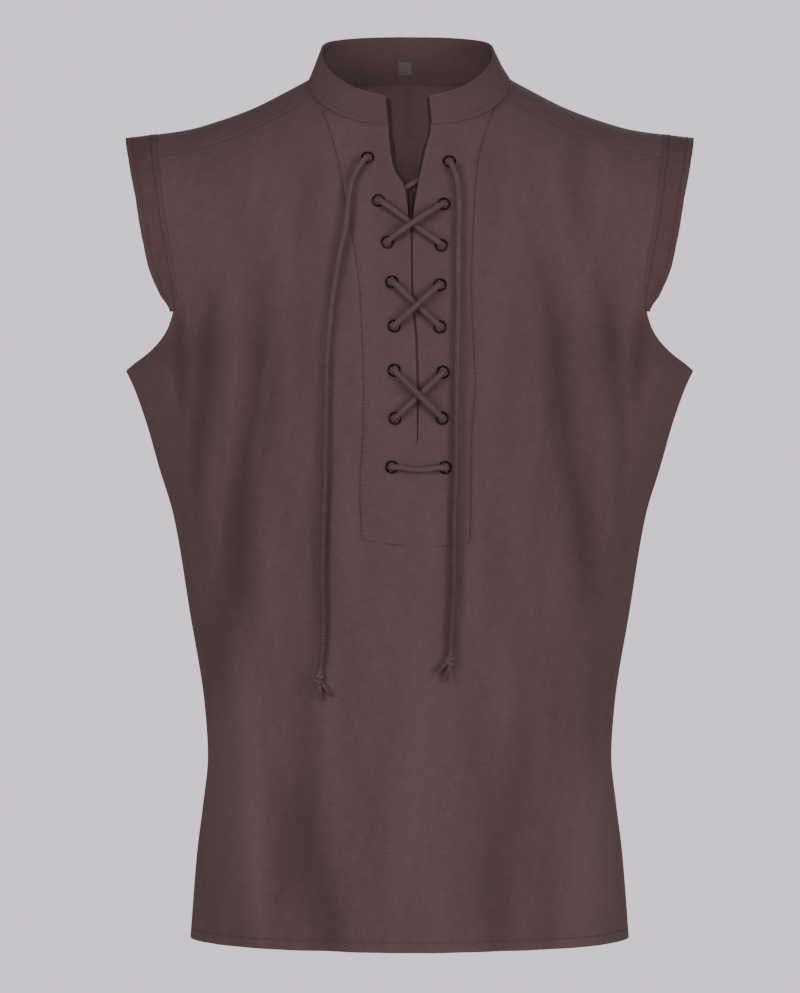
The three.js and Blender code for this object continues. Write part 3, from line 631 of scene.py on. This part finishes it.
def bendPoints(hole, towards, face):
    point, out = hole
    heading = towards - point
    heading = unit(heading - out * heading.dot(out))
    middle = point - out * form["cloth"] / 2
    return [middle + (heading * (1 - math.cos(angle)) + out * face * math.sin(angle)) * lace["bend"]
            for angle in (math.pi / 4, math.pi / 2)]


def crossing(a, b, c, d):  # where two strands pass, seen from the front
    det = (b[0] - a[0]) * (d[2] - c[2]) - (b[2] - a[2]) * (d[0] - c[0])
    t = ((c[0] - a[0]) * (d[2] - c[2]) - (c[2] - a[2]) * (d[0] - c[0])) / det
    return a[0] + (b[0] - a[0]) * t, a[2] + (b[2] - a[2]) * t


def lacingRoute():
    last = len(eyelets) - 1
    holes = [eyeletPlaces["right" if row % 2 else "left", row] for row in range(last + 1)]
    holes += [eyeletPlaces["left" if row % 2 else "right", row] for row in range(last, -1, -1)]

    def middle(hole, off=0.0):
        return hole[0] + hole[1] * (off - form["cloth"] / 2)
    route = [middle(holes[0]), middle(holes[0], -lace["straight"])]
    for leg in range(len(holes) - 1):
        start, end = holes[leg], holes[leg + 1]
        face = 1 if leg % 2 else -1
        twin = len(holes) - 2 - leg
        isBar = twin == leg
        if isBar:
            passX, passZ = (start[0][0] + end[0][0]) / 2, (start[0][2] + end[0][2]) / 2 - 2
        else:
            passX, passZ = crossing(start[0], end[0], holes[twin][0], holes[twin + 1][0])
        onTop = not isBar and (leg in (1, 3, 9) or (face < 0 and leg < twin))
        lift = lace["over"] if onTop else lace["under"]
        route += bendPoints(start, end[0], face)
        route.append(offFront(passX, passZ, lift if face > 0 else -lift - form["cloth"]))
        route += bendPoints(end, start[0], face)[::-1] + [middle(end)]
    route.insert(-1, middle(holes[-1], -lace["straight"]))
    return route


def tailRoute(side):
    hole = eyeletPlaces[side, 0]
    start = hole[0] + hole[1] * (form["gap"] - form["cloth"] / 2)
    down = [offFront(x, z, lace["tailLift"]) for x, z in tails[side]]
    return [start, start + hole[1] * lace["straight"]] + bendPoints(hole, down[0], 1) + down


def smoothRoute(points, pitch):
    dense = alongPoints(np.array(points), np.linspace(0, 1, (len(points) - 1) * 30 + 1))
    return evenly(dense, pitch)


def carriedFrames(path):  # a sideways pair for each point, turned as little as possible
    tangents = unit(np.gradient(path, axis=0))
    sides = [np.cross(tangents[0], [0.3, 0.2, 1])]
    for tangent in tangents:
        sides.append(unit(sides[-1] - tangent * sides[-1].dot(tangent)))
    sides = np.array(sides[1:])
    return sides, np.cross(tangents, sides)


def strandTube(mesh, path, radiusOf, around, startAt=0.0, soiled=0.0):
    sides, others = carriedFrames(path)
    s = startAt + wayAlong(path)
    angle = np.linspace(0, 2 * math.pi, around + 1)
    radius, ridge = radiusOf(angle[None, :], s[:, None])
    ring = sides[:, None] * np.cos(angle)[None, :, None] + others[:, None] * np.sin(angle)[None, :, None]
    points = path[:, None] + ring * radius[..., None]
    flat = np.stack(np.broadcast_arrays(angle[None, :] * 2.3, s[:, None]), -1)
    made = shapedGrid(mesh, points * mm, flat * mm, ridge, soiled * smoothStep(s[:, None], *lace["soilFrom"]))
    first = points[:, 0] * mm
    merge = [v for v in made if v.is_boundary and min(np.linalg.norm(first - np.array(v.co), axis=1)) < 1e-6]
    bmesh.ops.remove_doubles(mesh, verts=merge, dist=1e-7)
    rims = list({edge for vert in made if vert.is_valid for edge in vert.link_edges if edge.is_boundary})
    bmesh.ops.holes_fill(mesh, edges=rims, sides=0)


def braided(angle, s):  # eight strands that pass over and under each other
    along = s * 2 * math.pi / 5.2
    a, b = 3 * angle + along, 3 * angle - along
    first = (0.5 + 0.5 * np.cos(a)) * (0.62 + 0.38 * np.cos(b))
    second = (0.5 + 0.5 * np.cos(a + math.pi)) * (0.62 + 0.38 * np.cos(b + math.pi))
    # ridge shapes the strands and also colours them: painted light on the crests and painted shade in the
    # hollows.
    ridge = np.clip(np.maximum(first, second) * 1.3, 0, 1)
    wander = 1 + 0.03 * np.sin(s / 7.3 + 2 * angle) + 0.025 * np.sin(s / 3.1)
    return (lace["radius"] - 0.2 + lace["relief"] * ridge) * wander, ridge


def laceMesh(points, soiled=0.0):
    mesh = clothMesh()
    path = smoothRoute(points, lace["pitch"])
    holes = np.array([place - out * form["cloth"] / 2 for place, out in eyeletPlaces.values()])
    near = np.linalg.norm(path[:, None] - holes[None], axis=2).min(1)
    fill = 1 + lace["fill"] * bell(near, 2.7)  # it spreads in the eyelets

    def filled(angle, s):
        radius, ridge = braided(angle, s)
        return radius * fill[:, None], ridge
    strandTube(mesh, path, filled, lace["around"], soiled=soiled)
    bmesh.ops.recalc_face_normals(mesh, faces=mesh.faces)
    return mesh, path


def plainStrand(thick, taper):
    def radius(angle, s):
        fade = 1 - taper * np.clip(s / max(s.max(), 0.001), 0, 1)
        # Frays and loose fibres get a high ridge value: painted light that offsets their self-shadow.
        return thick * fade * np.ones_like(angle), 0.95 * np.ones(np.broadcast(angle, s).shape)
    return radius


knotShape = {"half": 6, "gap": 0.35, "turns": 1.75, "wrap": 2.5, "flat": 0.62, "strand": 1.75, "prong": 14.5,
             "strands": 9, "flare": 0.14, "left": (-0.2, -0.75), "right": (0.1, 0.9)}


def knotMesh(side, path):
    mesh = clothMesh()
    end, heading = path[-1], unit(path[-1] - path[-4])
    out = bodyNormal(end[0], wayAt(end[0], end[2]), -1)
    out = unit(out - heading * out.dot(heading))
    across = np.cross(heading, out)
    centre = end + heading * (knotShape["half"] + knotShape["gap"])
    core = np.array([end - heading * 1.5, end + heading * 2, centre + across * 0.8, centre + heading * 5.2])
    strandTube(mesh, smoothRoute(core, 0.7), braided, 16)
    t = np.linspace(0, 1, 60)
    angle = 2 * math.pi * knotShape["turns"] * t + 0.6
    swell = knotShape["wrap"] * (0.82 + 0.18 * np.sin(math.pi * t))
    wrap = (centre + np.outer(-3.6 + 7.2 * t + 1.3 * np.sin(angle), heading)
            + np.outer(swell * np.cos(angle), across)
            + np.outer(swell * np.sin(angle) * knotShape["flat"] + 0.3, out))

    def wrapped(around, s):
        radius, ridge = braided(around, s)
        return radius * knotShape["strand"] / lace["radius"], ridge
    strandTube(mesh, evenly(wrap, 0.7), wrapped, 16, 40)
    for turn in knotShape[side]:
        aim = np.array(Matrix.Rotation(turn, 3, "Y") @ Vector(heading))
        aim = unit(aim - np.array([0, knotShape["flare"], 0]))
        wide = np.cross(aim, out)
        root = centre + aim * (knotShape["half"] - 2.6)
        for strand in range(knotShape["strands"]):
            spin = 2 * math.pi * strand / knotShape["strands"] + turn
            near = (wide * math.cos(spin) + out * math.sin(spin) * 0.8) * (0.3 if strand == 0 else 1.25)
            length = knotShape["prong"] * dice.uniform(0.82, 1.06)
            bow = wide * dice.uniform(-1.1, 1.1) + out * dice.uniform(-0.3, 0.6)
            tip = root + near * dice.uniform(0.7, 1.5) + aim * length + bow
            line = [root + near * 0.5, root + near + aim * length * 0.35,
                    root + near * 1.15 + aim * length * 0.7 + bow * 0.6, tip]
            strandTube(mesh, smoothRoute(line, 1.3), plainStrand(0.62, 0.72), 6)
    bmesh.ops.recalc_face_normals(mesh, faces=mesh.faces)
    return mesh


def fluffMesh(path, start, count):  # loose fibres on the worn lower part of a lace
    mesh = clothMesh()
    for _ in range(count):
        k = int(len(path) * (start + (0.995 - start) * dice.uniform(0, 1) ** 0.6))
        k = min(k, len(path) - 3)
        run = unit(path[k + 1] - path[k])
        away = unit(np.cross(run, dice.normal(size=3)))
        if away[1] > 0.2:
            away = -away
        foot = path[k] + away * 2.0
        size = dice.uniform(0.9, 2.4)
        line = [foot, foot + (away * 0.5 + run * 0.4) * size, foot + (away * 0.75 + run * 1.1) * size]
        strandTube(mesh, smoothRoute(line, 1.0), plainStrand(0.11, 0.7), 3)
    bmesh.ops.recalc_face_normals(mesh, faces=mesh.faces)
    return mesh


for sideName in ("left", "right"):
    tailMesh, tailPath = laceMesh(tailRoute(sideName), lace["soiled"])
    print("lace tail", sideName, "is", round(float(wayAlong(tailPath)[-1] * mm), 4), "m long")
    tail = addPiece("laceTail" + sideName.title(), tailMesh, braid, ("lace_tail_" + sideName,))
    knot = addPiece("laceKnot" + sideName.title(), knotMesh(sideName, tailPath), braid,
                    ("lace_knot_" + sideName,))
    fluff = addPiece("laceFluff" + sideName.title(), fluffMesh(tailPath, *lace["fluff"]), braid)
    tuple(tailPath[0] * mm)
    [tuple(p * mm) for p in tailPath]
lacedMesh, lacedPath = laceMesh(lacingRoute())
addPiece("laceLaced", lacedMesh, braid, ("lace_laced",))
print("laces made, laced stretch", round(float(wayAlong(lacedPath)[-1]), 1), "mm")

# Panels, with rows close together at the hem, under the arms and where they close over the shoulder
fineHem = [-711, -709.8, -708, -706, -704.6, -703.8, -703, -702.2, -701.2, -699, -696.5]
underarm = [-242.7, -241.9, -241.2]
frontRows = rowsOf([*fineHem, *sorted([*np.linspace(-694, -126, 130), *underarm]),
                    *np.linspace(-124.5, -107.3, 13)],
                   [*np.linspace(0, 0.64, 12), 0.65, 0.657, 0.664, 0.671, 0.68, 0.7])
backRows = rowsOf([*fineHem, *sorted([*np.linspace(-694, -108, 146), *underarm[:2]])],
                  [*np.linspace(0, 0.62, 10), *np.linspace(0.64, 0.92, 14),
                   *np.linspace(0.96, math.pi - form["seamTurn"], 24)])
front = panelPiece("frontPanel", "front", -1, frontRows, 116)
back = panelPiece("backPanel", "back", 1, backRows, 92)
print("panels made")


# The facing's edge, which curls back inside the V of the neck and the collar's ends. Its colour is painted
# shade: the darker turned copy of the cloth and full sunk.
curl = {"from": -47, "to": -128, "left": 3.7, "right": 1.9, "depth": 8}


def curlMesh(side, columns=8):
    hand = 1 if side == "left" else -1  # the way towards the middle
    z = np.linspace(curl["to"], curl["from"], 56)
    edge = slitLeft(z) if hand > 0 else slitRight(z)
    ends = collarPoint(np.full(16, 0.0 if hand > 0 else 1.0), np.linspace(0.06, 0.94, 16))[0]
    line = np.concatenate([offFront(edge, z, 0), ends])
    narrow = np.minimum(curl[side], 0.3 * (slitRight(z) - slitLeft(z))) * smoothStep(z, curl["to"] - 1, -114)
    wide = np.concatenate([narrow, np.full(len(ends), curl[side])]) * (1 + 0.1 * np.sin(line[:, 2] / 6.1))
    part = np.linspace(0, 1, columns + 1)
    points = np.repeat(line[:, None], columns + 1, 1)
    points[..., 0] += hand * (wide[:, None] * part ** 0.8 - 1.2 * (1 - part))
    points[..., 1] += 1.1 + curl["depth"] * part ** 1.5
    # sunk 1 darkens the whole strip with painted shade.
    return sheetMesh(points[:, ::-1] if hand < 0 else points, 0, 1)


for sideName in ("left", "right"):
    thicken(addPiece("slitFacing" + sideName.title(), curlMesh(sideName), cottonTurnedShade), 0.7, 0.15)

# The underlap, which closes the slit from behind
underlap = {"from": -311, "to": -124, "reach": 5, "behind": 1.6, "cloth": 0.35}


def underlapMesh(rows=90, columns=6):
    part, z = np.meshgrid(np.linspace(0, 1, columns + 1),
                          np.linspace(underlap["from"], underlap["to"], rows + 1))
    left, right = slitLeft(z) - underlap["reach"], slitRight(z) + underlap["reach"]
    x = left + (right - left) * part
    return sheetMesh(offFront(x, z, -underlap["behind"], True))


thicken(addPiece("slitUnderlap", underlapMesh(), cotton), underlap["cloth"], 0.1)


def collarMesh(columns, rows):
    t, up = np.meshgrid(np.linspace(1, 0, columns + 1), np.linspace(-0.04, 1, rows + 1))
    point, outward = collarPoint(t.ravel(), up.ravel())
    lift = (0.22 * np.sin(t * 41 + up * 3) + 0.12 * np.sin(t * 97 - up * 5)) * np.sin(
        math.pi * np.clip(up, 0, 1)) ** 0.5
    lift = lift - 0.35 * (bell(up - 0.9, 0.03) + bell(up - 0.1, 0.03))
    lift = lift + 0.1 * np.sin(t * 330) * (bell(up - 0.9, 0.1) + bell(up - 0.1, 0.1))
    points = (point + outward * lift.ravel()[:, None]).reshape(rows + 1, columns + 1, 3)
    return sheetMesh(points, bell(1 - up, 0.07) + 0.5 * bell(up, 0.08))


# The collar's inner face takes the darker lining copy: painted shade.
collar = thicken(addPiece("standCollar", collarMesh(320, 26), cotton, ("collar",)),
                 form["collarCloth"], 0.8, 3, cottonLiningShade)


def bandStations(step):
    heights = np.arange(form["notch"], -106.01, step)
    turns = np.arange(step, form["seamTurn"] * form["round"], step) / form["round"]
    backTurns = np.arange(step, (math.pi - form["seamTurn"]) * form["round"], step) / form["round"]
    return rowsOf(heights, turns), rowsOf(heights, backTurns)


def bandPoints(hand, part, lift):  # part runs from the seam, 0, to the free edge, 1
    sets = []
    for side, rows in zip((-1, 1), bandStations(2.2)):
        inset = rows["panel"] - seams["bandLap"]
        x = hand * (inset[:, None] + (rows["edge"] - inset)[:, None] * part)
        way = wayOf(rows, x)
        points = bodyPoint(x, way, side) + bodyNormal(x, way, side) * (form["bandLift"] + lift)
        sets.append(points if side < 0 else points[::-1])
    return np.concatenate(sets, 0)


def bandMesh(hand, columns=12):
    part = np.linspace(0, 1, columns + 1)[None, :]
    points = bandPoints(hand, part, 0)
    run = np.linspace(0, 1, len(points))[:, None]
    lift = 0.25 * np.sin(run * 61 + part * 2) * part + 0.12 * np.sin(run * 190)
    lift = lift - 0.3 * bell(part - 0.78, 0.08)
    normal = np.cross(np.gradient(points, axis=0), np.gradient(points, axis=1)) * -hand
    normal /= np.maximum(np.linalg.norm(normal, axis=2, keepdims=True), 1e-9)
    points = points + normal * lift[..., None]
    worn = bell(1 - part, 0.15)
    if hand < 0:
        points, worn = points[:, ::-1], worn[:, ::-1]
    # sunk 0.4 darkens the whole band with painted shade.
    return sheetMesh(points, worn, 0.4)


bands = {}
for sideName, hand in (("left", -1), ("right", 1)):
    bands[sideName] = thicken(addPiece("armholeBand" + sideName.title(), bandMesh(hand), cotton,
                                       ("armhole_band_" + sideName,)), form["cloth"], 0.4)
print("collar and bands made")

# Eyelets, turned from a profile of distance from the axis and height over the cloth
eyeletShape = [(4.1, -2), (4.25, -2), (4.35, 0.3), (5.05, 0.25), (5.3, 0.36), (5.4, 0.6), (5.3, 0.84),
               (5.1, 1.0), (4.88, 1.04), (4.66, 0.97), (4.46, 0.76), (4.28, 0.3), (4.12, -0.4)]
for (sideName, number), (point, out) in eyeletPlaces.items():
    mesh = clothMesh()
    ring = [mesh.verts.new((r * mm, 0, h * mm)) for r, h in eyeletShape]
    rims = [mesh.edges.new((ring[k - 1], ring[k])) for k in range(len(ring))]
    bmesh.ops.spin(mesh, geom=ring + rims, cent=(0, 0, 0), axis=(0, 0, 1), angle=2 * math.pi, steps=32,
                   use_merge=True)
    bmesh.ops.remove_doubles(mesh, verts=mesh.verts, dist=1e-6)
    bmesh.ops.recalc_face_normals(mesh, faces=mesh.faces)
    turn = Vector((0, 0, 1)).rotation_difference(Vector(out)).to_matrix().to_4x4()
    bmesh.ops.transform(mesh, matrix=Matrix.Translation(Vector(point * mm)) @ turn, verts=mesh.verts)
    addPiece(f"eyelet{sideName.title()}{number + 1}", mesh, metal,
             (f"eyelet_{sideName}_{number + 1}",))

# Label, bare, inside the back of the collar
label = {"x": -3, "width": 10.5, "low": 0.15, "high": 0.45, "cloth": 1, "columns": 24, "rows": 22,
         "stationGap": 41}


def labelMesh():
    across, up = np.meshgrid(np.linspace(0.5, -0.5, label["columns"] + 1),
                             np.linspace(0, 1, label["rows"] + 1))
    perTurn = (len(neckRing) - 1) * label["stationGap"]
    t = 0.5 + (label["x"] + label["width"] * across) / perTurn
    point, outward = collarPoint(t.ravel(), (label["low"] + (label["high"] - label["low"]) * up).ravel())
    sag = 0.25 * np.sin(up * 5 + across * 2) + 0.3 * bell(up - 0.94, 0.05)
    points = point - outward * (form["collarCloth"] + form["gap"] - 0.2 + sag.ravel()[:, None])
    return sheetMesh(points.reshape(label["rows"] + 1, label["columns"] + 1, 3))


thicken(addPiece("sizeLabel", labelMesh(), woven, ("size_label",)), label["cloth"] - 0.3, 0.15)
print("eyelets and label made")


# Stitching: a seam is a line of points with the way out of the cloth
def stitchedSeam(name, points, outward, finish, raised=0.1):
    dense = np.hstack([points, outward])
    lengths = wayAlong(points)
    count = int(lengths[-1] / seams["pitch"])
    at = (np.arange(count) + 0.5) * lengths[-1] / count
    dense = np.stack([np.interp(at, lengths, dense[:, k]) for k in range(6)], 1)
    heading = np.gradient(dense[:, :3], axis=0)
    mesh = clothMesh()
    for k in range(count):
        forward = Vector(heading[k]).normalized()
        out = Vector(dense[k, 3:])
        out = (out - forward * out.dot(forward)).normalized()
        side = out.cross(forward)
        size = seams["stitch"] / 2 * dice.uniform(0.93, 1.05)
        spot = Vector(dense[k, :3]) + side * dice.uniform(-0.12, 0.12) + out * raised
        turn = Matrix((forward * size, side * seams["thread"], out * seams["thread"] * 0.9)).transposed()
        bmesh.ops.create_uvsphere(mesh, u_segments=6, v_segments=4, radius=mm,
                                  matrix=Matrix.Translation(spot * mm) @ turn.to_4x4())
    bmesh.ops.recalc_face_normals(mesh, faces=mesh.faces)
    return addPiece(name, mesh, finish)


def frontLine(places):
    line = evenly(np.array(places, float), 2)
    way = wayAt(line[:, 0], line[:, 1])
    return bodyPoint(line[:, 0], way, -1), bodyNormal(line[:, 0], way, -1)


stitchedSeam("facingStitches", *frontLine(facing), thread, 0.45)
for side, name in ((-1, "Front"), (1, "Back")):
    x = np.linspace(-180.5, 180.5, 400)
    way = form["hem"] + seams["hemFold"] - shoulderZ(x) + form["round"]
    stitchedSeam("hemStitches" + name, bodyPoint(x, way, side), bodyNormal(x, way, side), cotton, 0.35)
for up, name in ((0.9, "Top"), (0.1, "Foot")):
    point, outward = collarPoint(np.linspace(0.006, 0.994, 300), np.full(300, up))
    stitchedSeam("collarStitches" + name, point - outward * 0.3, outward, cotton)
for sideName, hand in (("left", -1), ("right", 1)):
    for name, part, finish in (("Seam", 0.2, thread), ("Edge", 0.78, cotton)):
        line, above = [bandPoints(hand, np.array([[part]]), lift)[:, 0] for lift in (0, 1)]
        stitchedSeam("bandStitches" + name + sideName.title(), line, above - line, finish)
    x = hand * np.linspace(79, 207, 80)
    way = np.full(80, form["seamTurn"] * form["round"] + seams["shoulderInset"])
    stitchedSeam("shoulderStitches" + sideName.title(), bodyPoint(x, way, -1), bodyNormal(x, way, -1), cotton)
print("stitching made")


def clothArea(piece):
    return sum(face.area for face in piece.data.polygons)


for name, piece in (("front", front), ("back", back), ("collar", collar), ("band", bands["left"]),
                    ("band", bands["right"])):
    print("cloth", name, "shows", round(clothArea(piece), 4), "square metres")

# Stage: pale floor under the shirt, plain light
stage = {"floorZ": -0.98, "floorRadius": 1.35, "floor": (0.5, 0.48, 0.51), "air": (1.11, 0.98, 1.145),
         "ambient": (0.33, 0.315, 0.33),
         "lights": [((-2.1, -2.1, 0.15), 1.2, 39), ((2.1, -2.1, -0.25), 1.2, 41),  # place, size, power
                    ((0.1, -2.9, -0.6), 1.2, 12), ((0, -2.4, 1.1), 0.8, 11),
                    ((0.3, 2.6, 0.6), 1.8, 40), ((0, 2.9, -0.5), 1.2, 25)],
         "within": ((0, -0.02, -0.085), 0.06, 0.0155, (0, 0.085, -0.015)), "beam": 96}
floorMesh = bmesh.new()
bmesh.ops.create_circle(floorMesh, cap_ends=True, segments=96, radius=stage["floorRadius"],
                        matrix=Matrix.Translation((0, 0, stage["floorZ"])))
floorData = bpy.data.meshes.new("floor")
floorMesh.to_mesh(floorData)
floorMesh.free()
floor = bpy.data.objects.new("floor", floorData)
bpy.context.scene.collection.objects.link(floor)
floorFinish = Finish("paleFloor", Roughness=0.9)
floorFinish.shader.inputs["Base Color"].default_value = (*stage["floor"], 1)
floorData.materials.append(floorFinish.material)
lamps = [(*light, (0, 0, -0.35)) for light in stage["lights"]] + [stage["within"]]
for number, (place, size, power, aim) in enumerate(lamps):
    lamp = bpy.data.lights.new(f"softbox{number}", "AREA")
    lamp.shape = "DISK"
    lamp.size = size
    lamp.energy = power
    holder = bpy.data.objects.new(f"softbox{number}", lamp)
    holder.location = place
    holder.rotation_euler = (Vector(aim) - Vector(place)).to_track_quat("-Z", "Y").to_euler()
    holder.visible_camera = False
    if number == len(stage["lights"]):  # the one inside, which lights what shows through the neck
        lamp.spread = math.radians(stage["beam"])
    bpy.context.scene.collection.objects.link(holder)
world = bpy.data.worlds.new("air")
world.use_nodes = True
nodes, links = world.node_tree.nodes, world.node_tree.links
shade = nodes["Background"]
shade.inputs["Color"].default_value = (*stage["ambient"], 1)
behind = nodes.new("ShaderNodeBackground")
behind.inputs["Color"].default_value = (*stage["air"], 1)
seen = nodes.new("ShaderNodeLightPath")
either = nodes.new("ShaderNodeMixShader")
links.new(seen.outputs["Is Camera Ray"], either.inputs[0])
links.new(shade.outputs[0], either.inputs[1])
links.new(behind.outputs[0], either.inputs[2])
links.new(either.outputs[0], nodes["World Output"].inputs[0])
bpy.context.scene.world = world
